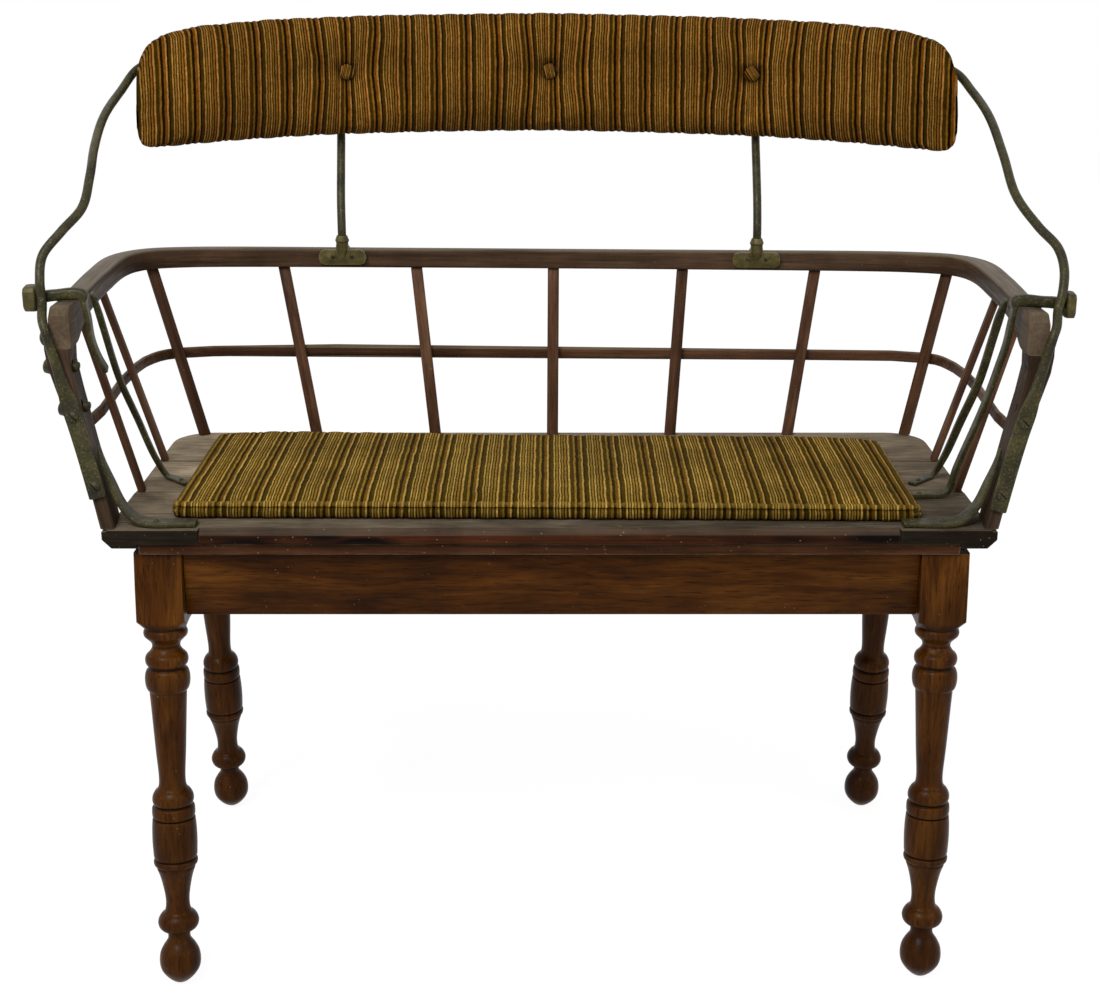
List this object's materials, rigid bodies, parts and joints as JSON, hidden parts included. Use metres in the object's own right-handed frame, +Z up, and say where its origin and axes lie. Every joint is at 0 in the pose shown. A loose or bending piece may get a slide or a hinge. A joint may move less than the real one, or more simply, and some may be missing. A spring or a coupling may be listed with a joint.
{
  "type": "bench",
  "caption": "Spindle-sided wagon seat on a turned-leg base, with forged side irons, a curved padded backrest and a loose seat pad.",
  "frame": {"origin": "centre of the bounding box at floor level, under the four feet", "axes": "+X along the bench towards its right end as seen from the front, +Y towards the backrest, +Z up"},
  "size_m": [1.0198, 0.5084, 0.9626],
  "materials": {
    "base_varnish": "brown varnish, worn at the edges, half gloss",
    "seat_boards": "bare weathered grey-brown boards, matte",
    "rail_wood": "dark brown worn finish with greyed tops, low sheen",
    "plain_wood": "unfinished sawn wood, matte",
    "iron_paint": "old olive-green paint worn to dull brassy metal at the edges",
    "clip_metal": "tarnished brass under olive paint",
    "fastener_iron": "painted iron heads, worn",
    "striped_cloth": "ribbed striped upholstery cloth in olive, gold and rust, matte"
  },
  "bodies": {
    "frame": {"apron_front": "base_varnish", "apron_left": "base_varnish", "apron_rear": "base_varnish", "apron_right": "base_varnish", "back_board": "plain_wood", "back_button_left": "striped_cloth", "back_button_middle": "striped_cloth", "back_button_right": "striped_cloth", "back_pad": "striped_cloth", "back_prop_left": "iron_paint", "back_prop_right": "iron_paint", "bracket_iron_left": "iron_paint", "bracket_iron_right": "iron_paint", "bracket_nut_left": "iron_paint", "bracket_nut_right": "iron_paint", "corner_iron_left": "iron_paint", "corner_iron_right": "iron_paint", "leg_front_left": "base_varnish", "leg_front_right": "base_varnish", "leg_rear_left": "base_varnish", "leg_rear_right": "base_varnish", "mid_rail": "rail_wood", "post_bolt_left_lower": "fastener_iron", "post_bolt_left_top": "fastener_iron", "post_bolt_left_upper": "fastener_iron", "post_bolt_right_lower": "fastener_iron", "post_bolt_right_upper": "fastener_iron", "post_left": "rail_wood", "post_right": "rail_wood", "prop_clip_left": "clip_metal", "prop_clip_right": "clip_metal", "seat_batten_left": "plain_wood", "seat_batten_right": "plain_wood", "seat_brace_left": "iron_paint", "seat_brace_right": "iron_paint", "seat_nosing": "base_varnish", "seat_plank_front": "seat_boards", "seat_plank_middle": "seat_boards", "seat_plank_rear": "seat_boards", "seat_strip_front": "base_varnish", "seat_strip_rear": "base_varnish", "side_iron_left": "iron_paint", "side_iron_right": "iron_paint", "spindle_back_1": "rail_wood", "spindle_back_2": "rail_wood", "spindle_back_3": "rail_wood", "spindle_back_4": "rail_wood", "spindle_back_5": "rail_wood", "spindle_back_6": "rail_wood", "spindle_back_7": "rail_wood", "spindle_left_front": "rail_wood", "spindle_left_rear": "rail_wood", "spindle_right_front": "rail_wood", "spindle_right_rear": "rail_wood", "strap_screw_left_lower": "fastener_iron", "strap_screw_left_upper": "fastener_iron", "strap_screw_right_lower": "fastener_iron", "strap_screw_right_upper": "fastener_iron", "top_rail": "rail_wood"},
    "pad": {"seat_pad": "striped_cloth"}
  },
  "joints": [
    {"name": "seat_pad_lift", "type": "slide", "parent": "frame", "child": "pad", "axis": [0, 0, 1], "range_m": [0, 0.25]}
  ]
}
